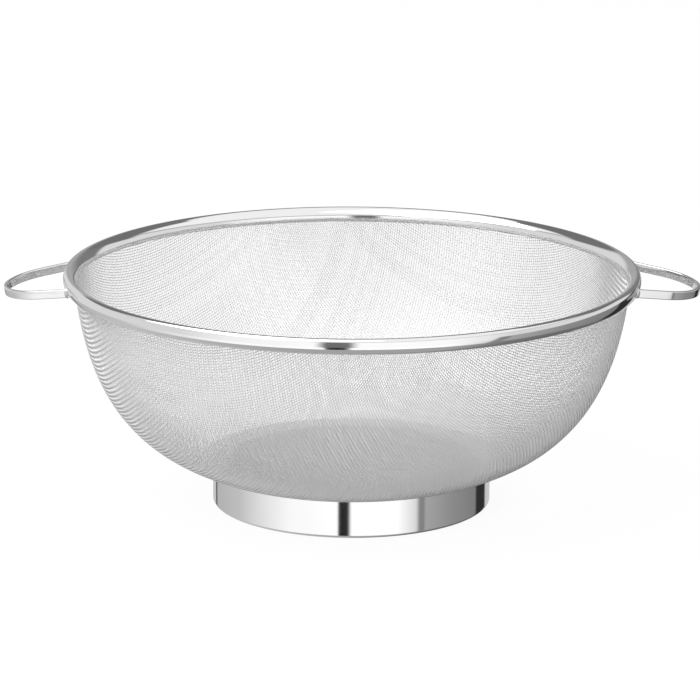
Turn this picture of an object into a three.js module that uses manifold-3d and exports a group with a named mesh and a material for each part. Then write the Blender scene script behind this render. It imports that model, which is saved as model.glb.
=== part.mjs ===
// A fine-mesh colander: a pressed bowl of woven steel wire cloth, held at its edge by a rolled steel rim
// with a wire hoop inside, with two loop handles of bent strip and a foot ring under its flat base.
// Millimetres, +Z up. The origin is the centre of the foot on the table, and the handles lie along X.
import * as THREE from 'three';
import { mergeVertices } from 'three/addons/utils/BufferGeometryUtils.js';
import Module from 'manifold-3d';

const degrees = THREE.MathUtils.degToRad;

// Driving dimensions
const RIM_RADIUS = 130; // outside of the rim
const RIM_TOP = 107.8; // crest of the rim above the table
const RIM_DEPTH = 6; // crest to lower edge, at the inside
const RIM_LEAN = degrees(25); // inner wall of the rim, from upright
const CROWN_RADIUS = 2; // over the crest
const FACE_RADIUS = 6; // bulge of the rim's outer face
const FACE_RISE = degrees(20); // arc of the face above its widest line
const FACE_FALL = degrees(25); // arc of the face below its widest line
const RIM_CURL = 1.6; // radius where the face turns under
const RIM_SHEET = 0.5;
const HOOP_DIAMETER = 2.4;
const CLOTH_THICKNESS = 0.7; // two wires lying over each other
const BASE_RADIUS = 68.5; // crease round the flat base
const BASE_HEIGHT = 18.2; // underside of the base above the table
const WALL_LEAN = degrees(6.3); // bowl wall below the rim, from upright
const WALL_RIM_PULL = 41; // how far the wall keeps its lean
const WALL_RISE = degrees(19); // bowl wall outside the crease, from level
const WALL_BASE_PULL = 39.8; // how far the wall keeps its rise
const MESH_COLUMNS = 20; // openings round the bowl
const MESH_PITCH = 14; // rows of openings along the base, and about so up the wall
const MESH_BAR = 7; // between the rows
const FOOT_INSET = 5.4; // crease to the outside of the foot
const FOOT_SHEET = 0.8;
const FOOT_BEND = 1.2; // outer radius of both bends
const FOOT_FLANGE = 6.5; // width of the flange under the base
const FOOT_HEM = 3; // width of the turned-in lower edge
const HANDLE_REACH = 27.1; // how far a handle stands out from the rim
const HANDLE_END_RADIUS = 24.2; // outside of the round end
const HANDLE_FLARE = degrees(19.3); // each leg, from the handle's own axis
const HANDLE_LOW = 2.1; // middle of the strip below the rim's widest line
const HANDLE_DROOP = degrees(8.3); // the loop hangs a little below level
const STRIP_HEIGHT = 3.9;
const STRIP_THICKNESS = 1.6;
const STRIP_EDGE = 0.4; // rounding along the strip's edges
const GAP = 0.3; // between pieces that touch

// Steps of the faceted curves
const COLUMN_STEPS = 3; // one of them a bar between openings
const TURN_STEPS = MESH_COLUMNS * COLUMN_STEPS;
const RIM_STEPS = 3;
const FOOT_STEPS = 2;
const HOOP_STEPS = 10;
const HANDLE_STEPS = 14;

// Where the pieces meet, as radius and height
const crownRise = (FACE_RADIUS - CROWN_RADIUS) * Math.sin(FACE_RISE);
const face = new THREE.Vector2(RIM_RADIUS - FACE_RADIUS, RIM_TOP - CROWN_RADIUS - crownRise);
const onFace = (radius, angle) => {
  return new THREE.Vector2(Math.cos(angle), Math.sin(angle)).multiplyScalar(radius).add(face);
};
const crown = onFace(FACE_RADIUS - CROWN_RADIUS, FACE_RISE);
const curl = onFace(FACE_RADIUS - RIM_CURL, -FACE_FALL);
const underside = curl.y - RIM_CURL;
const upRimWall = new THREE.Vector2(Math.sin(RIM_LEAN), Math.cos(RIM_LEAN));
const intoBowl = new THREE.Vector2(-Math.cos(RIM_LEAN), Math.sin(RIM_LEAN));
const footRadius = BASE_RADIUS - FOOT_INSET;
const hoopHeight = RIM_TOP - RIM_SHEET - GAP - HOOP_DIAMETER / 2;
const clothTop = hoopHeight - HOOP_DIAMETER / 2 - GAP;

const crownTangent = crown.clone().addScaledVector(intoBowl, CROWN_RADIUS);
const rimWallLength = (crownTangent.y - (RIM_TOP - RIM_DEPTH)) / upRimWall.y;
const rimWallEdge = crownTangent.clone().addScaledVector(upRimWall, -rimWallLength);
const clothAtRim = rimWallEdge.clone().addScaledVector(intoBowl, -(RIM_SHEET + GAP + CLOTH_THICKNESS));

function turned(profile) {
  const geometry = new THREE.LatheGeometry(profile, TURN_STEPS);
  return geometry.rotateX(Math.PI / 2);
}

// Wire cloth pressed into a bowl: a flat base, one curved wall, and an edge that flares into the rim.
// A station is a pair of points on the cloth's two faces, and tells whether openings begin there or end.
function bowlStations() {
  const inside = new THREE.Vector2(0, CLOTH_THICKNESS);
  const station = (point, inward, open) => ({ faces: [point, point.clone().add(inward)], open });
  const onBase = (radius, open) => station(new THREE.Vector2(radius, BASE_HEIGHT), inside, open);

  const crease = new THREE.Vector2(BASE_RADIUS, BASE_HEIGHT);
  const leaveCrease = new THREE.Vector2(Math.cos(WALL_RISE), Math.sin(WALL_RISE));
  const reachRim = new THREE.Vector2(Math.sin(WALL_LEAN), Math.cos(WALL_LEAN));
  const wall = new THREE.CubicBezierCurve(
    crease,
    crease.clone().addScaledVector(leaveCrease, WALL_BASE_PULL),
    clothAtRim.clone().addScaledVector(reachRim, -WALL_RIM_PULL),
    clothAtRim,
  );
  const wallLength = wall.getLength();
  const onWall = (length, open) => {
    const along = wall.getTangentAt(length / wallLength);
    const inward = new THREE.Vector2(-along.y, along.x).multiplyScalar(CLOTH_THICKNESS);
    return station(wall.getPointAt(length / wallLength), inward, open);
  };

  const stations = [onBase(0, false)];
  const flangeEdge = footRadius - FOOT_FLANGE;
  const baseRows = Math.floor(flangeEdge / MESH_PITCH) - 1; // the middle stays closed
  for (let row = baseRows; row > 0; row -= 1) {
    const end = flangeEdge - (row - 1) * MESH_PITCH;
    stations.push(onBase(end - MESH_PITCH + MESH_BAR, true), onBase(end, false));
  }
  const creaseInward = new THREE.Vector2(-Math.tan(WALL_RISE / 2), 1).multiplyScalar(CLOTH_THICKNESS);
  stations.push(station(crease, creaseInward, false));
  const wallRows = Math.round(wallLength / MESH_PITCH);
  const rowPitch = wallLength / wallRows;
  for (let row = 0; row < wallRows; row += 1) {
    stations.push(onWall(row * rowPitch + MESH_BAR / 2, true), onWall((row + 1) * rowPitch - MESH_BAR / 2, false));
  }
  const throughCloth = intoBowl.clone().multiplyScalar(CLOTH_THICKNESS);
  const tuck = (clothTop - clothAtRim.y) / upRimWall.y;
  stations.push(station(clothAtRim, throughCloth, false));
  stations.push(station(clothAtRim.clone().addScaledVector(upRimWall, tuck), throughCloth, true));
  return stations;
}

// The cloth is one thin turned wall here, with a plain grid of openings in place of its weave.
function bowlGeometry() {
  const stations = bowlStations();
  const positions = [];
  for (const { faces } of stations) {
    for (const point of faces) {
      for (let turn = 0; turn < TURN_STEPS; turn += 1) {
        const angle = (turn * 2 * Math.PI) / TURN_STEPS;
        positions.push(point.x * Math.cos(angle), point.x * Math.sin(angle), point.y);
      }
    }
  }

  const last = stations.length - 1;
  const isOpen = (step, turn) => {
    const bar = (turn + TURN_STEPS) % COLUMN_STEPS === 0;
    return step === last || (step >= 0 && stations[step].open && !bar);
  };
  const vertex = (step, inside, turn) => (2 * step + inside) * TURN_STEPS + (turn % TURN_STEPS);
  const index = [];
  const addQuad = (a, b, c, d) => index.push(a, b, c, a, c, d);
  for (let step = 0; step < last; step += 1) {
    for (let turn = 0; turn < TURN_STEPS; turn += 1) {
      if (isOpen(step, turn)) continue;
      const corners = [[step, turn], [step, turn + 1], [step + 1, turn + 1], [step + 1, turn]];
      const beside = [[step - 1, turn], [step, turn + 1], [step + 1, turn], [step, turn - 1]];
      const outer = corners.map(([s, t]) => vertex(s, 0, t));
      const inner = corners.map(([s, t]) => vertex(s, 1, t));
      addQuad(...outer);
      addQuad(...inner.toReversed());
      beside.forEach(([s, t], side) => {
        const next = (side + 1) % 4;
        if (isOpen(s, t)) addQuad(outer[next], outer[side], inner[side], inner[next]);
      });
    }
  }
  const geometry = new THREE.BufferGeometry();
  geometry.setAttribute('position', new THREE.Float32BufferAttribute(positions, 3));
  geometry.setIndex(index);
  geometry.computeVertexNormals();
  return geometry;
}

// Steel strip rolled over the edge of the cloth and the hoop: an inner wall, a crown, a bulging outer face
// and a lip turned under.
function rimGeometry() {
  const lipTop = underside + RIM_SHEET;
  const flareAtLip = Math.max(0, (lipTop - clothAtRim.y) * Math.tan(RIM_LEAN));
  const lipEnd = clothAtRim.x + flareAtLip + GAP;
  const hiddenEdge = rimWallEdge.clone().addScaledVector(intoBowl, -RIM_SHEET);
  const overCrown = Math.PI - RIM_LEAN;

  const path = new THREE.Path();
  path.moveTo(lipEnd, underside);
  path.lineTo(curl.x, underside);
  path.absarc(curl.x, curl.y, RIM_CURL, -Math.PI / 2, -FACE_FALL, false);
  path.absarc(face.x, face.y, FACE_RADIUS, -FACE_FALL, FACE_RISE, false);
  path.absarc(crown.x, crown.y, CROWN_RADIUS, FACE_RISE, overCrown, false);
  path.lineTo(rimWallEdge.x, rimWallEdge.y);
  path.lineTo(hiddenEdge.x, hiddenEdge.y);
  path.absarc(crown.x, crown.y, CROWN_RADIUS - RIM_SHEET, overCrown, FACE_RISE, true);
  path.absarc(face.x, face.y, FACE_RADIUS - RIM_SHEET, FACE_RISE, -FACE_FALL, true);
  path.absarc(curl.x, curl.y, RIM_CURL - RIM_SHEET, -FACE_FALL, -Math.PI / 2, true);
  path.lineTo(lipEnd, lipTop);
  path.closePath();
  return turned(path.getPoints(RIM_STEPS));
}

// Round wire ring that the rim is rolled around.
function hoopGeometry() {
  const ring = new THREE.Path();
  ring.absarc(crown.x, hoopHeight, HOOP_DIAMETER / 2, 0, 2 * Math.PI, false);
  return turned(ring.getPoints(HOOP_STEPS / 2));
}

// Polished band under the base: a flange welded to the cloth, an upright wall, and a lower edge turned in.
function footGeometry() {
  const top = BASE_HEIGHT - GAP;
  const bendX = footRadius - FOOT_BEND;
  const insideBend = FOOT_BEND - FOOT_SHEET;

  const path = new THREE.Path();
  path.moveTo(footRadius - FOOT_HEM, 0);
  path.lineTo(bendX, 0);
  path.absarc(bendX, FOOT_BEND, FOOT_BEND, -Math.PI / 2, 0, false);
  path.absarc(bendX, top - FOOT_BEND, FOOT_BEND, 0, Math.PI / 2, false);
  path.lineTo(footRadius - FOOT_FLANGE, top);
  path.lineTo(footRadius - FOOT_FLANGE, top - FOOT_SHEET);
  path.absarc(bendX, top - FOOT_BEND, insideBend, Math.PI / 2, 0, true);
  path.absarc(bendX, FOOT_BEND, insideBend, 0, -Math.PI / 2, true);
  path.lineTo(footRadius - FOOT_HEM, FOOT_SHEET);
  path.closePath();
  return turned(path.getPoints(FOOT_STEPS));
}

// Bent strip seen from above: two legs that run in from the rim and a round end, lying along +X.
function handleOutline() {
  const endX = RIM_RADIUS + HANDLE_REACH - HANDLE_END_RADIUS;
  const bend = Math.PI / 2 - HANDLE_FLARE;
  const legEnd = (radius) => {
    const tangentX = endX + radius * Math.cos(bend);
    const run = tangentX - crown.x;
    return new THREE.Vector2(tangentX - run, radius * Math.sin(bend) + run * Math.tan(HANDLE_FLARE));
  };
  const insideRadius = HANDLE_END_RADIUS - STRIP_THICKNESS;
  const outside = legEnd(HANDLE_END_RADIUS);
  const inside = legEnd(insideRadius);

  const shape = new THREE.Shape();
  shape.moveTo(outside.x, -outside.y);
  shape.absarc(endX, 0, HANDLE_END_RADIUS, -bend, bend, false);
  shape.lineTo(outside.x, outside.y);
  shape.lineTo(inside.x, inside.y);
  shape.absarc(endX, 0, insideRadius, bend, -bend, true);
  shape.lineTo(inside.x, -inside.y);
  shape.closePath();
  return shape;
}

const wasm = await Module();
wasm.setup();

function solid(geometry) {
  const bare = geometry.clone();
  bare.deleteAttribute('normal');
  bare.deleteAttribute('uv');
  const merged = mergeVertices(bare);
  const mesh = new wasm.Mesh({
    numProp: 3,
    vertProperties: merged.attributes.position.array,
    triVerts: new Uint32Array(merged.index.array),
  });
  return new wasm.Manifold(mesh);
}

function geometryOf(manifold) {
  const mesh = manifold.getMesh();
  const geometry = new THREE.BufferGeometry();
  geometry.setAttribute('position', new THREE.BufferAttribute(mesh.vertProperties, mesh.numProp));
  geometry.setIndex(new THREE.BufferAttribute(mesh.triVerts, 1));
  geometry.computeVertexNormals();
  return geometry;
}

// Room that the rim takes, with a gap round it. Below the face it goes straight down.
function rimRoom() {
  const path = new THREE.Path();
  path.moveTo(0, 0);
  path.lineTo(onFace(FACE_RADIUS + GAP, -FACE_FALL).x, 0);
  path.absarc(face.x, face.y, FACE_RADIUS + GAP, -FACE_FALL, FACE_RISE, false);
  path.absarc(crown.x, crown.y, CROWN_RADIUS + GAP, FACE_RISE, Math.PI / 2, false);
  path.lineTo(0, RIM_TOP + GAP);
  return turned(path.getPoints(RIM_STEPS));
}

// The strip stands on edge against the lower half of the rim's face, hangs by its droop and is cut to the
// face's curve.
function handleGeometry() {
  const height = face.y - HANDLE_LOW;
  const flat = STRIP_HEIGHT - 2 * STRIP_EDGE;
  const strip = new THREE.ExtrudeGeometry(handleOutline(), {
    depth: flat,
    curveSegments: HANDLE_STEPS,
    bevelSize: STRIP_EDGE,
    bevelOffset: -STRIP_EDGE,
    bevelThickness: STRIP_EDGE,
    bevelSegments: 2,
  });
  strip.translate(-RIM_RADIUS, 0, -flat / 2);
  strip.rotateY(HANDLE_DROOP);
  strip.translate(RIM_RADIUS, 0, height);
  return geometryOf(solid(strip).subtract(solid(rimRoom())));
}

const polished = { color: 0xd4d6d8, roughness: 0.12, metalness: 1 };
const drawnWire = { color: 0xc4c6c8, roughness: 0.32, metalness: 1 };

const colander = new THREE.Group();

function add(name, geometry, finish) {
  const mesh = new THREE.Mesh(geometry, new THREE.MeshStandardMaterial(finish));
  mesh.name = name;
  colander.add(mesh);
  return mesh;
}

add('mesh_bowl', bowlGeometry(), drawnWire);
add('rim_band', rimGeometry(), polished);
add('rim_hoop', hoopGeometry(), drawnWire);
add('foot_ring', footGeometry(), polished);
const handle = handleGeometry();
add('right_handle', handle, polished);
add('left_handle', handle, polished).rotation.z = Math.PI;

export default colander;
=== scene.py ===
import math

import bpy
import numpy as np
from mathutils import Matrix, Vector


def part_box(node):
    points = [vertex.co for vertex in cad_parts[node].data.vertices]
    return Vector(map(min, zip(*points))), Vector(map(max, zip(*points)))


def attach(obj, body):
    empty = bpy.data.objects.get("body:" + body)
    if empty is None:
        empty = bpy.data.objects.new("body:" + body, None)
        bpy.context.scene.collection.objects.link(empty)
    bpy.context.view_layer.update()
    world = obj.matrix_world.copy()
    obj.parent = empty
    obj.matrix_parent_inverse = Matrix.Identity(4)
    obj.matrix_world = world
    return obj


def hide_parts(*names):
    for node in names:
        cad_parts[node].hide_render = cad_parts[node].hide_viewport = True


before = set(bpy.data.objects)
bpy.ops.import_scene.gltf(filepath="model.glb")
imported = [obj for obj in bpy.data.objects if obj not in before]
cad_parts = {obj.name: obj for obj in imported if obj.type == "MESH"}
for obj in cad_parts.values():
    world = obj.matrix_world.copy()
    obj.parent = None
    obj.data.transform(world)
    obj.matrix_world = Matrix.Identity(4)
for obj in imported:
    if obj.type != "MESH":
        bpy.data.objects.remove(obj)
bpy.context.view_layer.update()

# Wire cloth. A round blank of plain-woven stainless wire is pressed over a die into a bowl with a flat base.
# The wires keep their pitch, so the square meshes lean into diamonds between the directions of the weave.
# Each wire is a round bar that passes over and under the wires it crosses, and ends inside the rim.
mm = 0.001
wire = 0.31 * mm
pitch = 1.25 * mm
weave_turn = math.radians(-36)
pieces_per_family = 4
half_cloth = 0.35 * mm
crease_radius = 68.44 * mm
joint_radius, joint_height = 124.73 * mm, 101.31 * mm
crease_rise, joint_lean, edge_lean = 19, 83.7, 65
crease_pull, joint_pull, edge_reach = 39.8 * mm, 41 * mm, 150 * mm
straight_points, wall_points = 100, 200
dark_wire, bright_wire = (0.82, 0.82, 0.82, 1), (0.92, 0.92, 0.92, 1)

cloth_low, cloth_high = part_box("mesh_bowl")
base_height = cloth_low.z + half_cloth
crease = np.array((crease_radius, base_height))
rim_joint = np.array((joint_radius, joint_height))


def heading(angle):
    """A unit step in the section of a turned piece, at an angle above level."""
    return np.array((math.cos(math.radians(angle)), math.sin(math.radians(angle))))


pull_from_crease = crease + crease_pull * heading(crease_rise)
pull_from_joint = rim_joint - joint_pull * heading(joint_lean)
past_edge = rim_joint + edge_reach * heading(edge_lean)
share = np.linspace(0, 1, wall_points)[:, None]
base_radii = np.linspace(0, crease_radius, straight_points)[:-1]
base_line = np.column_stack((base_radii, np.full(len(base_radii), base_height)))
wall_line = (
    (1 - share) ** 3 * crease
    + 3 * share * (1 - share) ** 2 * pull_from_crease
    + 3 * share**2 * (1 - share) * pull_from_joint
    + share**3 * rim_joint
)
edge_line = rim_joint + np.linspace(0, 1, straight_points)[1:, None] * (past_edge - rim_joint)
section = np.vstack((base_line, wall_line, edge_line))
run = np.concatenate(([0], np.cumsum(np.hypot(*np.diff(section, axis=0).T))))
slope = np.gradient(section, run, axis=0)
upper = slice(wall_points, None)
edge = np.interp(cloth_high.z, section[upper, 1], run[upper])


def on_bowl(blank):
    """Where points of the flat blank lie on the bowl: place, step up the bowl, step round it, and way in."""
    reach = np.maximum(np.hypot(blank[:, 0], blank[:, 1]), 1e-9)[:, None]
    out = blank / reach
    radius, height = (np.interp(reach, run, section[:, k]) for k in (0, 1))
    widen, climb = (np.interp(reach, run, slope[:, k]) for k in (0, 1))
    side = np.column_stack((-out[:, 1], out[:, 0], np.zeros(len(out))))
    place = np.hstack((out * radius, height))
    up = np.hstack((out * widen, climb))
    inward = np.hstack((-out * climb, widen))
    return place, up, side * radius / reach, inward


def next_crossing(left, below, blank):
    """Moves a guess on the blank until it lies one pitch from two crossings on the bowl."""
    left_place, below_place = on_bowl(left)[0], on_bowl(below)[0]
    for _ in range(6):
        place, up, side, _ = on_bowl(blank)
        out = blank / np.hypot(blank[:, 0], blank[:, 1])[:, None]
        both = (place - left_place, place - below_place)
        left_up, below_up = ((away * up).sum(1) for away in both)
        left_side, below_side = ((away * side).sum(1) for away in both)
        left_miss, below_miss = (((away**2).sum(1) - pitch**2) / 2 for away in both)
        turn = left_up * below_side - left_side * below_up
        ahead = (left_miss * below_side - below_miss * left_side) / turn
        across = (below_miss * left_up - left_miss * below_up) / turn
        blank = blank - ahead[:, None] * out - across[:, None] * np.column_stack((-out[:, 1], out[:, 0]))
    return blank


half = int(edge / pitch)
quarter = np.zeros((half + 1, half + 1, 2))
quarter[:, 0, 0] = quarter[0, :, 1] = np.arange(half + 1) * pitch
for step in range(2, 2 * half + 1):
    i = np.arange(max(1, step - half), min(step - 1, half) + 1)
    j = step - i
    left, below = quarter[i - 1, j], quarter[i, j - 1]
    quarter[i, j] = next_crossing(left, below, left + below - quarter[i - 1, j - 1])

count = 2 * half + 1
crossings = np.zeros((count, count, 2))
quarter_turn = np.array(((0, 1), (-1, 0)))
crossings[half:, half:] = quarter
crossings[half::-1, half::-1] = -quarter
crossings[half::-1, half:] = (quarter @ quarter_turn).transpose(1, 0, 2)
crossings[half:, half::-1] = -(quarter @ quarter_turn).transpose(1, 0, 2)
turn_cos, turn_sin = math.cos(weave_turn), math.sin(weave_turn)
crossings = crossings @ np.array(((turn_cos, turn_sin), (-turn_sin, turn_cos)))

flat = crossings.reshape(-1, 2)
place, _, _, inward = on_bowl(flat)
place, inward = (values.reshape(count, count, 3) for values in (place, inward))
inside = (np.hypot(*flat.T) < edge).reshape(count, count)
odd = np.add.outer(np.arange(count), np.arange(count)) % 2
over = np.where(odd, 1, -1)[:, :, None] * wire / 2
warp = [line[kept] for line, kept in zip(place + over * inward, inside)]
weft = [line[kept] for line, kept in zip((place - over * inward).transpose(1, 0, 2), inside.T)]


class Signal:
    """An output in a material's nodes. Arithmetic on it adds Math nodes, and node() adds any other."""

    def __init__(self, tree, socket=None):
        self.tree = tree
        self.socket = socket

    def node(self, kind, sockets, output=0, **settings):
        made = self.tree.nodes.new("ShaderNode" + kind)
        for name, value in settings.items():
            setattr(made, name, value)
        for name, value in sockets.items():
            if isinstance(value, Signal):
                self.tree.links.new(value.socket, made.inputs[name])
            else:
                made.inputs[name].default_value = value
        return Signal(self.tree, made.outputs[output])

    def maths(self, operation, *values):
        return self.node("Math", dict(enumerate(values)), operation=operation)

    def __add__(self, other):
        return self.maths("ADD", self, other)

    def __sub__(self, other):
        return self.maths("SUBTRACT", self, other)

    def __rsub__(self, other):
        return self.maths("SUBTRACT", other, self)

    def __mul__(self, other):
        return self.maths("MULTIPLY", self, other)

    def __pow__(self, other):
        return self.maths("POWER", self, other)

    __radd__, __rmul__ = __add__, __mul__


def metal(name):
    """A new metal: its material, its shader and the start of its nodes."""
    material = bpy.data.materials.new(name)
    material.use_nodes = True
    shader = material.node_tree.nodes["Principled BSDF"]
    shader.inputs["Metallic"].default_value = 1
    return material, shader, Signal(material.node_tree)


def blend(factor, first, second):
    """The colour between two colours by a factor."""
    return factor.node("Mix", {"Factor": factor, "A": first, "B": second}, 2, data_type="RGBA")


def feed(node, socket, signal):
    """Links a signal to a socket of a node."""
    signal.tree.links.new(signal.socket, node.inputs[socket])


drawn_wire, shader, start = metal("drawn_wire")
where = start.node("TexCoord", {}, "Object")
clouds = start.node("TexNoise", {"Vector": where, "Scale": 35, "Detail": 3})
specks = start.node("TexNoise", {"Vector": where, "Scale": 900, "Detail": 1})
shade = clouds * 0.5 + specks * 0.5
feed(shader, "Base Color", blend(shade, dark_wire, bright_wire))
feed(shader, "Roughness", 0.34 + shade * 0.16)


def pick(piece):
    """Makes a piece the only one that is selected, and the active one."""
    bpy.ops.object.select_all(action="DESELECT")
    bpy.context.view_layer.objects.active = piece
    piece.select_set(True)


def wire_piece(name, lines):
    """Wires as bevelled curves, made one mesh, with a strip of the bake's map for each."""
    curve = bpy.data.curves.new(name, "CURVE")
    curve.dimensions = "3D"
    curve.bevel_depth = wire / 2
    curve.bevel_resolution = 0
    curve.use_fill_caps = True
    for line in lines:
        spline = curve.splines.new("POLY")
        spline.points.add(len(line) - 1)
        spline.points.foreach_set("co", np.column_stack((line, np.ones(len(line)))).ravel())
        spline.use_smooth = True
    piece = bpy.data.objects.new(name, curve)
    bpy.context.scene.collection.objects.link(piece)
    pick(piece)
    bpy.ops.object.convert(target="MESH")
    strips = piece.data.uv_layers[0]
    strips.name = "OFBake"
    places = np.zeros(2 * len(piece.data.loops), np.float32)
    strips.data.foreach_get("uv", places)
    corners_per_step = 4 * 4
    strip = np.repeat(np.arange(len(lines)), [corners_per_step * (len(line) - 1) for line in lines])
    across = places[1::2][-len(strip):]
    across[:] = (strip + across) / len(lines)
    strips.data.foreach_set("uv", places)
    piece.data.materials.append(drawn_wire)
    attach(piece, "root")
    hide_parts("mesh_bowl")


for family, lines in (("warp_wires", warp), ("weft_wires", weft)):
    lines = [line for line in lines if len(line) > 1]
    reached = np.cumsum([len(line) for line in lines])
    group = np.minimum(reached * pieces_per_family // reached[-1], pieces_per_family - 1)
    for number in range(pieces_per_family):
        wire_piece(f"{family}_{number + 1}", [line for line, k in zip(lines, group) if k == number])

# Rim. A strip of stainless sheet is rolled over the edge of the cloth and a wire hoop: an inner wall with
# a hem, a narrow crown, a rounded outer face and a lip turned under. It is polished to a mirror, with faint
# lines round it, and its ends meet in a ground weld seam on the right.
rim_radius, rim_top = 130 * mm, 107.8 * mm
rim_sheet, rim_edge = 0.5 * mm, 0.12 * mm
crown_radius, face_radius, curl_radius, hem_radius = 2 * mm, 6 * mm, 1.6 * mm, 2.2 * mm
face_rise, face_fall = 20, 25
inner_rise, inner_turn, inner_fall = 63.6, 14.5, 45
lip_end = 125.49 * mm
curl_steps, face_steps, crown_steps, inner_steps, hem_steps = 6, 12, 16, 12, 10
turn_steps = 192
join_distance = 0.01 * mm
sharp_angle, smooth_angle = math.radians(40), math.radians(35)
dark_polish, bright_polish = (0.82, 0.82, 0.82, 1), (0.9, 0.9, 0.9, 1)
seam_half, seam_grey = 0.2 * mm, (0.5, 0.495, 0.49, 1)


def begin_section(name, radius, height):
    """Starts a turned piece as one point of its section, over the X axis."""
    bpy.ops.object.select_all(action="DESELECT")
    bpy.ops.mesh.primitive_plane_add(size=mm)
    piece = bpy.context.object
    piece.name = piece.data.name = name
    bpy.ops.object.mode_set(mode="EDIT")
    bpy.ops.mesh.merge(type="CENTER")
    bpy.ops.transform.translate(value=(radius, 0, height))
    return piece


def draw_line(radius, height):
    """Runs the section on by a straight step."""
    bpy.ops.mesh.extrude_region_move(TRANSFORM_OT_translate={"value": (radius, 0, height)})


def draw_bend(centre, angle, steps):
    """Runs the section on round a bend, by an angle in degrees, with its centre at this radius and height."""
    middle = (centre[0], 0, centre[1])
    bpy.ops.mesh.spin(steps=steps, angle=math.radians(angle), center=middle, axis=(0, 1, 0))


def leave_edit():
    """Points every face outwards and leaves edit mode."""
    bpy.ops.mesh.select_all(action="SELECT")
    bpy.ops.mesh.normals_make_consistent(inside=False)
    bpy.ops.object.mode_set(mode="OBJECT")


def turn_section():
    """Turns the section about the axis."""
    bpy.ops.mesh.select_all(action="SELECT")
    bpy.ops.mesh.spin(steps=turn_steps, angle=2 * math.pi, center=(0, 0, 0), axis=(0, 0, 1))
    bpy.ops.mesh.select_all(action="SELECT")
    bpy.ops.mesh.remove_doubles(threshold=join_distance)
    leave_edit()


def make_sheet(piece, sheet, edge_round):
    """Makes a turned surface sheet metal with softened edges."""
    wall = piece.modifiers.new("sheet", "SOLIDIFY")
    wall.thickness = sheet
    wall.offset = -1
    softened = piece.modifiers.new("edges", "BEVEL")
    softened.width = edge_round
    softened.segments = 2
    softened.limit_method = "ANGLE"
    softened.angle_limit = sharp_angle
    for modifier in ("sheet", "edges"):
        bpy.ops.object.modifier_apply(modifier=modifier)
    bpy.ops.object.shade_smooth_by_angle(angle=smooth_angle)


narrowing = face_radius - crown_radius
face = np.array((rim_radius - face_radius, rim_top - crown_radius - narrowing * heading(face_rise)[1]))
crown = face + narrowing * heading(face_rise)
curl = face + (face_radius - curl_radius) * heading(-face_fall)
inner = crown - narrowing * heading(180 - inner_rise)
hem = inner + (face_radius - hem_radius) * heading(180 - inner_turn)

rim = begin_section("rim", lip_end, curl[1] - curl_radius)
draw_line(curl[0] - lip_end, 0)
draw_bend(curl, 90 - face_fall, curl_steps)
draw_bend(face, face_fall + face_rise, face_steps)
draw_bend(crown, 180 - inner_rise - face_rise, crown_steps)
draw_bend(inner, inner_rise - inner_turn, inner_steps)
draw_bend(hem, inner_turn + inner_fall, hem_steps)
turn_section()
make_sheet(rim, rim_sheet, rim_edge)

polished_steel, shader, start = metal("polished_steel")
where = start.node("TexCoord", {}, "Object")
x, y, z = (start.node("SeparateXYZ", {"Vector": where}, k) for k in range(3))
around = start.node("CombineXYZ", {"Y": (x * x + y * y) ** 0.5, "Z": z})
lines = start.node("TexNoise", {"Vector": around, "Scale": 5000, "Detail": 2})
wipes = start.node("TexNoise", {"Vector": where, "Scale": 22, "Detail": 4})
beside_seam = start.maths("LESS_THAN", start.maths("ABSOLUTE", y), seam_half)
seam = beside_seam * start.maths("GREATER_THAN", x, 0)
feed(shader, "Base Color", blend(seam, blend(wipes, dark_polish, bright_polish), seam_grey))
feed(shader, "Roughness", 0.04 + wipes * 0.05 + lines * 0.03 + seam * 0.25)
feed(shader, "Normal", start.node("Bump", {"Strength": 0.04, "Distance": 0.02 * mm, "Height": lines}))

rim.data.materials.append(polished_steel)
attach(rim, "root")
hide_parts("rim_band")

# Hoop. A length of drawn wire bent to a ring that stiffens the rim from inside, with its two ends butted.
# It lies hidden under the crown.
hoop_radius, hoop_sides = 1.2 * mm, 16
hoop_turn = math.radians(359.6)
hoop_low, hoop_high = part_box("rim_hoop")
hoop_height = (hoop_low.z + hoop_high.z) / 2


def settle():
    """Puts the active piece's place, turn and scale into its mesh."""
    bpy.ops.object.transform_apply(location=True, rotation=True, scale=True)


bpy.ops.object.select_all(action="DESELECT")
bpy.ops.mesh.primitive_circle_add(
    vertices=hoop_sides, radius=hoop_radius, fill_type="NGON", rotation=(math.pi / 2, 0, 0)
)
hoop = bpy.context.object
hoop.name = hoop.data.name = "hoop"
hoop.location = (crown[0], 0, hoop_height)
settle()
bpy.ops.object.mode_set(mode="EDIT")
bpy.ops.mesh.spin(steps=turn_steps, angle=hoop_turn, center=(0, 0, 0), axis=(0, 0, 1))
leave_edit()
bpy.ops.object.shade_smooth_by_angle(angle=smooth_angle)
hoop.data.materials.append(drawn_wire)
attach(hoop, "root")
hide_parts("rim_hoop")

# Foot. A band of polished stainless sheet is bent to a ring, butt-welded, and turned in at both edges:
# a wide flange on top, spot-welded to the base of the cloth, and a narrow hem that stands on the table.
# The wall has a short step beside each bend, so that the bends' smooth shading doesn't run into it.
_, foot_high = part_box("foot_ring")
foot_radius, foot_top = foot_high.x, cloth_low.z
foot_sheet, foot_edge = 0.8 * mm, 0.15 * mm
foot_bend, bend_steps, bend_end = 1.2 * mm, 6, 0.3 * mm
flange, foot_hem = 6.5 * mm, 3 * mm
foot = begin_section("foot", foot_radius - foot_hem, 0)
draw_line(foot_hem - foot_bend, 0)
draw_bend((foot_radius - foot_bend, foot_bend), 90, bend_steps)
draw_line(0, bend_end)
draw_line(0, foot_top - 2 * foot_bend - 2 * bend_end)
draw_line(0, bend_end)
draw_bend((foot_radius - foot_bend, foot_top - foot_bend), 90, bend_steps)
draw_line(foot_bend - flange, 0)
turn_section()
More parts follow.
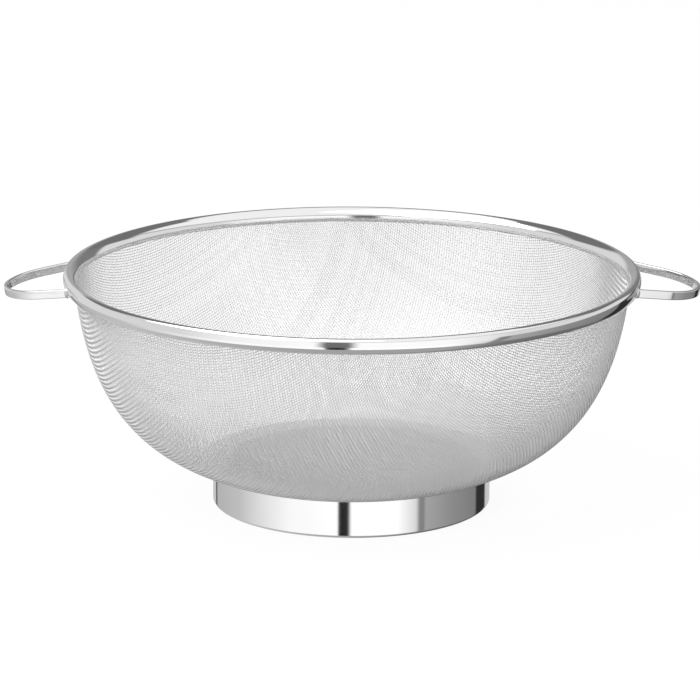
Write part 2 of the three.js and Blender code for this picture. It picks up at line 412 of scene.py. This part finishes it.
make_sheet(foot, foot_sheet, foot_edge)
foot.data.materials.append(polished_steel)
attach(foot, "root")
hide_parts("foot_ring")

# Spot welds. A ring of them holds the foot's flange to the base of the cloth. Each shows as a shallow round
# print on the underside of the flange, where the electrode pressed, and is duller than the polished sheet.
spots, spot_radius, spot_depth, spot_inset = 16, 1.6 * mm, 0.12 * mm, 4 * mm
dark_weld, bright_weld = (0.55, 0.548, 0.545, 1), (0.84, 0.838, 0.835, 1)
spot_place = (foot_radius - spot_inset, 0, foot_top - foot_sheet)
bpy.ops.object.select_all(action="DESELECT")
bpy.ops.mesh.primitive_uv_sphere_add(segments=20, ring_count=10, radius=1, location=spot_place)
prints = bpy.context.object
prints.name = prints.data.name = "spot_welds"
prints.scale = (spot_radius, spot_radius, spot_depth)
settle()
bpy.ops.object.mode_set(mode="EDIT")
bpy.ops.mesh.select_all(action="SELECT")
most_of_turn = 2 * math.pi * (spots - 1) / spots
bpy.ops.mesh.spin(steps=spots - 1, dupli=True, angle=most_of_turn, center=(0, 0, 0), axis=(0, 0, 1))
bpy.ops.object.mode_set(mode="OBJECT")
bpy.ops.object.shade_smooth_by_angle(angle=smooth_angle)

weld_steel, shader, start = metal("weld_steel")
where = start.node("TexCoord", {}, "Object")
scorch = start.node("TexNoise", {"Vector": where, "Scale": 700, "Detail": 3})
feed(shader, "Base Color", blend(scorch, dark_weld, bright_weld))
feed(shader, "Roughness", 0.25 + scorch * 0.3)
prints.data.materials.append(weld_steel)
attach(prints, "root")

# Handles. Each is one piece of flat stainless strip on edge, bent to a loop, with its ends welded to the rim.
# The edges are rounded by rolling, and the loops hang a little below level, the left lower than the right.
# The legs are made too long and cut to the rolled outside of the rim.
strip_height, strip_thickness, strip_round = 3.9 * mm, 1.6 * mm, 0.4 * mm
handle_end, handle_bend, handle_steps = 27.1 * mm, 25 * mm, 36
handle_flare, handle_droop = math.radians(19.3), math.radians(8.3)
right_lift, left_lift = 0.55 * mm, -0.55 * mm
handle_drop, leg = 2.1 * mm, 16 * mm
dark_strip, bright_strip = (0.77, 0.77, 0.77, 1), (0.87, 0.87, 0.87, 1)
handle_height = float(face[1]) - handle_drop
bend_place = Vector((rim_radius + handle_end - handle_bend, 0, handle_height))
bend_middle = handle_bend - strip_thickness / 2
half_turn = math.pi / 2 - handle_flare
leg_end = bend_place + bend_middle * Vector((math.cos(half_turn), -math.sin(half_turn), 0))
along = Vector((math.cos(handle_flare), math.sin(handle_flare), 0))
back_along = Vector((-along.x, along.y, 0))

bpy.ops.object.select_all(action="DESELECT")
bpy.ops.mesh.primitive_plane_add(
    size=1, location=leg_end - leg * along, rotation=(0, math.pi / 2, handle_flare)
)
right_handle = bpy.context.object
right_handle.name = right_handle.data.name = "handle_right"
right_handle.scale = (strip_height, strip_thickness, 1)
settle()
bpy.ops.object.mode_set(mode="EDIT")
bpy.ops.mesh.bevel(affect="VERTICES", offset=strip_round, segments=4)
bpy.ops.mesh.extrude_region_move(TRANSFORM_OT_translate={"value": leg * along})
bpy.ops.mesh.spin(steps=handle_steps, angle=2 * half_turn, center=bend_place, axis=(0, 0, -1))
bpy.ops.mesh.extrude_region_move(TRANSFORM_OT_translate={"value": leg * back_along})
bpy.ops.mesh.select_all(action="SELECT")
bpy.ops.mesh.remove_doubles(threshold=join_distance)
leave_edit()

strip_steel, shader, start = metal("strip_steel")
where = start.node("TexCoord", {}, "Object")
stretched = start.node("Mapping", {"Vector": where, "Scale": (60, 60, 4000)})
lines = start.node("TexNoise", {"Vector": stretched, "Scale": 1, "Detail": 2})
wipes = start.node("TexNoise", {"Vector": where, "Scale": 60, "Detail": 3})
feed(shader, "Base Color", blend(wipes, dark_strip, bright_strip))
feed(shader, "Roughness", 0.06 + wipes * 0.05 + lines * 0.03)
feed(shader, "Normal", start.node("Bump", {"Strength": 0.02, "Distance": 0.01 * mm, "Height": lines}))
right_handle.data.materials.append(strip_steel)

rim_room = begin_section("rim_room", 0, curl[1] - curl_radius)
draw_line(curl[0], 0)
draw_bend(curl, 90 - face_fall, curl_steps)
draw_bend(face, face_fall + face_rise, face_steps)
draw_bend(crown, 90 - face_rise, face_steps)
draw_line(-crown[0], 0)
turn_section()

hung_from = Matrix.Translation((rim_radius, 0, handle_height))
hung = hung_from @ Matrix.Rotation(handle_droop, 4, "Y") @ hung_from.inverted()


def hang_pair(right_piece, left_name):
    """Copies a piece to the left side, then hangs both, cuts them to the rim and attaches them to the root
    body.
    """
    left_piece = right_piece.copy()
    left_piece.data = right_piece.data.copy()
    left_piece.name = left_piece.data.name = left_name
    bpy.context.scene.collection.objects.link(left_piece)
    for piece, lift, turn in ((right_piece, right_lift, 0), (left_piece, left_lift, math.pi)):
        pick(piece)
        piece.matrix_world = Matrix.Rotation(turn, 4, "Z") @ Matrix.Translation((0, 0, lift)) @ hung
        settle()
        cut = piece.modifiers.new("cut", "BOOLEAN")
        cut.operation = "DIFFERENCE"
        cut.object = rim_room
        bpy.ops.object.modifier_apply(modifier="cut")
        bpy.ops.object.shade_smooth_by_angle(angle=smooth_angle)
        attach(piece, "root")
    return left_piece


left_handle = hang_pair(right_handle, "handle_left")
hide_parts("right_handle")
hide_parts("left_handle")

# Welds. The strip's ends are fused to the rim's outer face, and each leaves a low lumpy bead round its root.
# The steel there is a little duller than the polished strip.
bead_length, bead_width, bead_height = 2.4 * mm, 2.6 * mm, 4.6 * mm
lump_size, lump_height = 0.9 * mm, 0.35 * mm
outside = float(face[0]) + math.sqrt(face_radius**2 - handle_drop**2)
way_back = leg_end.xy.dot(along.xy)
root = leg_end - (way_back - math.sqrt(way_back**2 - leg_end.xy.length_squared + outside**2)) * along
bpy.ops.object.select_all(action="DESELECT")
bpy.ops.mesh.primitive_uv_sphere_add(segments=32, ring_count=20, radius=0.5)
beads = bpy.context.object
beads.name = beads.data.name = "welds_right"
beads.scale = (bead_length, bead_width, bead_height)
settle()
molten = bpy.data.textures.new("molten", "CLOUDS")
molten.noise_scale = lump_size
lumps = beads.modifiers.new("lumps", "DISPLACE")
lumps.texture = molten
lumps.strength = lump_height
bpy.ops.object.modifier_apply(modifier="lumps")
beads.location = root
beads.rotation_euler.z = handle_flare
settle()
bpy.ops.object.mode_set(mode="EDIT")
bpy.ops.mesh.select_all(action="SELECT")
bpy.ops.mesh.duplicate()
bpy.ops.transform.mirror(constraint_axis=(False, True, False), center_override=(0, 0, 0))
leave_edit()
beads.data.materials.append(weld_steel)
hang_pair(beads, "welds_left")
bpy.data.objects.remove(rim_room)

# Studio. A white sweep of paper under a large soft lamp. Round it stands a tent of light and dark panels, and
# below it a grey table top, which only the metal mirrors. A dark grey disc on the floor inside the foot is
# painted shadow: it stands for the shade in the hollow of the foot.
floor_size, floor_glow = 8, 0.92
white = (1, 1, 1, 1)
bpy.ops.object.select_all(action="DESELECT")
bpy.ops.mesh.primitive_plane_add(size=floor_size)
floor = bpy.context.object
floor.name = "floor"
floor.visible_glossy = False


def stage_material(name):
    """A material of the studio with no shader yet: the material, its output and the start of its nodes."""
    material = bpy.data.materials.new(name)
    material.use_nodes = True
    nodes = material.node_tree.nodes
    nodes.remove(nodes["Principled BSDF"])
    return material, nodes["Material Output"], Signal(material.node_tree)


sweep, output, start = stage_material("white_sweep")
paper = start.node("BsdfDiffuse", {"Color": white})
glow = start.node("Emission", {"Color": white})
seen = start.node("LightPath", {}, "Is Camera Ray")
feed(output, "Surface", start.node("MixShader", {0: seen * floor_glow, 1: paper, 2: glow}))
floor.data.materials.append(sweep)

tent_radius, tent_sides = 2.6, 96
tent_low, rail, card_low, gap_low, gap_high, tent_high = -1.5, -0.58, 1.26, 1.5, 1.89, 3.8
panel_blur, card_blur = 0.04, 0.12
side_way, side_from, side_to, side_lift = (0.98, 0.2), 0.68, 0.72, 0.65
card_azimuth, card_from, card_to = 90, 58, 70
card_level, top_level = 0.18, 0.5
low_panels = (
    (0, 0.3), (36, 0.22), (36.5, 0.03), (56.5, 0.03), (57, 0.6), (117, 0.6), (117.5, 0.05),
    (121.5, 0.05), (122, 0.5), (165, 0.6), (218, 1.1), (259, 1.2), (259.6, 0.02), (268.4, 0.02),
    (269, 1.2), (307, 1.2), (326, 0.75), (326.5, 0.25), (332.5, 0.25), (333, 0.42), (360, 0.3),
)
high_panels = (
    (0, 0.8), (46, 0.8), (51, 0.22), (72, 0.22), (86, 0.42), (104, 0.42), (111, 0.76), (200, 0.78), (222, 1),
    (256, 1.15), (260, 0.17), (269, 0.17), (272.5, 1.15), (307, 1.1), (325, 0.9), (334, 0.75), (360, 0.8),
)
bpy.ops.mesh.primitive_cylinder_add(
    vertices=tent_sides, radius=tent_radius, depth=tent_high - tent_low, end_fill_type="NOTHING",
    location=(0, 0, (tent_high + tent_low) / 2),
)
tent = bpy.context.object
tent.name = "tent"
settle()


def stage_place(start):
    """The place of a point of the studio, and how far round the axis it lies, from 0 to 1."""
    where = start.node("TexCoord", {}, "Object")
    x, y, z = (start.node("SeparateXYZ", {"Vector": where}, k) for k in range(3))
    round_share = (start.maths("ARCTAN2", 0 - y, 0 - x) + math.pi) * (0.5 / math.pi)
    return x, y, z, round_share


def ring(round_share, panels):
    """The brightness of a ring of panels by azimuth."""
    ramp = round_share.node("ValToRGB", {"Fac": round_share})
    stops = ramp.socket.node.color_ramp.elements
    while len(stops) < len(panels):
        stops.new(1)
    for stop, (azimuth, level) in zip(stops, panels):
        stop.position = azimuth / 360
        stop.color = (level, level, level, 1)
    return ramp


def fades(value, low, high):
    """Goes smoothly from 0 to 1 as a value goes from low to high."""
    ends = {"Value": value, "From Min": low, "From Max": high}
    return value.node("MapRange", ends, interpolation_type="SMOOTHSTEP")


tent_cloth, output, start = stage_material("tent_cloth")
x, y, z, round_share = stage_place(start)
right_side = fades((x * side_way[0] + y * side_way[1]) * (1 / tent_radius), side_from, side_to)
high = fades(z - right_side * side_lift, rail - panel_blur, rail + panel_blur)
from_card = start.maths("ABSOLUTE", round_share - card_azimuth / 360)
behind = 1 - fades(from_card, card_from / 360, card_to / 360)
card = behind * fades(z, card_low - card_blur, card_low + card_blur)
over_wall = (1 - behind) * fades(z, gap_low - panel_blur, gap_low + panel_blur)
over_gap = (1 - behind) * fades(z, gap_high - panel_blur, gap_high + panel_blur)
rings = ring(round_share, low_panels) * (1 - high) + ring(round_share, high_panels) * high
level = rings * (1 - card) * (1 - over_wall) + card * card_level + (over_wall + over_gap) * top_level
feed(output, "Surface", start.node("Emission", {"Color": level}))
tent.data.materials.append(tent_cloth)
tent.visible_camera = tent.visible_diffuse = tent.visible_shadow = False

table_radius, table_height = 1, -0.45
table_levels = (
    (0, 0.17), (60, 0.15), (110, 0.45), (140, 0.62), (190, 0.55),
    (215, 0.48), (250, 0.42), (312, 0.39), (336, 0.2), (360, 0.17),
)
bpy.ops.mesh.primitive_circle_add(
    vertices=tent_sides, radius=table_radius, fill_type="NGON", location=(0, 0, table_height)
)
table = bpy.context.object
table.name = "grey_table"
settle()
laminate, output, start = stage_material("grey_laminate")
round_share = stage_place(start)[3]
feed(output, "Surface", start.node("Emission", {"Color": ring(round_share, table_levels)}))
table.data.materials.append(laminate)
table.visible_camera = table.visible_diffuse = table.visible_shadow = False

# Painted shadow: a dark grey disc on the floor inside the foot, seen through the base, stands for the shade
# there.
painted_shadow_lift, painted_shadow_grey = 0.2 * mm, (0.3, 0.3, 0.3, 1)
bpy.ops.mesh.primitive_circle_add(
    vertices=tent_sides, radius=foot_radius - 2 * foot_sheet, fill_type="NGON", location=(0, 0, painted_shadow_lift)
)
painted_shadow_card = bpy.context.object
painted_shadow_card.name = "painted_shadow_under_base"
settle()
painted_shadow_material = bpy.data.materials.new("painted_shadow_material")
painted_shadow_material.use_nodes = True
painted_shadow_material.node_tree.nodes["Principled BSDF"].inputs["Base Color"].default_value = painted_shadow_grey
painted_shadow_card.data.materials.append(painted_shadow_material)

world_light = 0.75
world = bpy.data.worlds.new("white")
bpy.context.scene.world = world
world.use_nodes = True
start = Signal(world.node_tree)
background = world.node_tree.nodes["Background"]
background.inputs["Color"].default_value = white
camera_ray, glossy_ray, clear_ray = (
    start.node("LightPath", {}, f"Is {kind} Ray") for kind in ("Camera", "Glossy", "Transmission")
)
shown = start.maths("MAXIMUM", start.maths("MAXIMUM", camera_ray, glossy_ray), clear_ray)
feed(background, "Strength", world_light + shown * (1 - world_light))

lamp_place, lamp_power = Vector((-0.75, -0.4, 1.6)), 23
lamp_data = bpy.data.lights.new("softbox", "AREA")
lamp_data.shape = "RECTANGLE"
lamp_data.size, lamp_data.size_y = 2.0, 1.6
lamp_data.energy = lamp_power
lamp = bpy.data.objects.new("softbox", lamp_data)
lamp.location = lamp_place
lamp.rotation_euler = (-lamp_place).to_track_quat("-Z", "Y").to_euler()
bpy.context.scene.collection.objects.link(lamp)

# Camera. It stands where the photograph was taken from, with a long lens, a little above the rim, and turned
# by a hair. The lens is worked out from the focal length in pixels of the square picture.
focal_px, image_px, sensor = 3983, 700, 36
look_down, roll = math.radians(14.59), math.radians(0.25)
distance, aim_height, aside = 1.804, 69.7 * mm, -0.85 * mm
camera_data = bpy.data.cameras.new("camera")
camera_data.sensor_width = sensor
camera_data.lens = focal_px / image_px * sensor
camera = bpy.data.objects.new("camera", camera_data)
camera.location = (aside, -distance * math.cos(look_down), aim_height + distance * math.sin(look_down))
camera.rotation_mode = "ZYX"
camera.rotation_euler = (math.pi / 2 - look_down, 0, roll)
bpy.context.scene.collection.objects.link(camera)
bpy.context.scene.camera = camera
bpy.context.scene.view_settings.view_transform = "Standard"
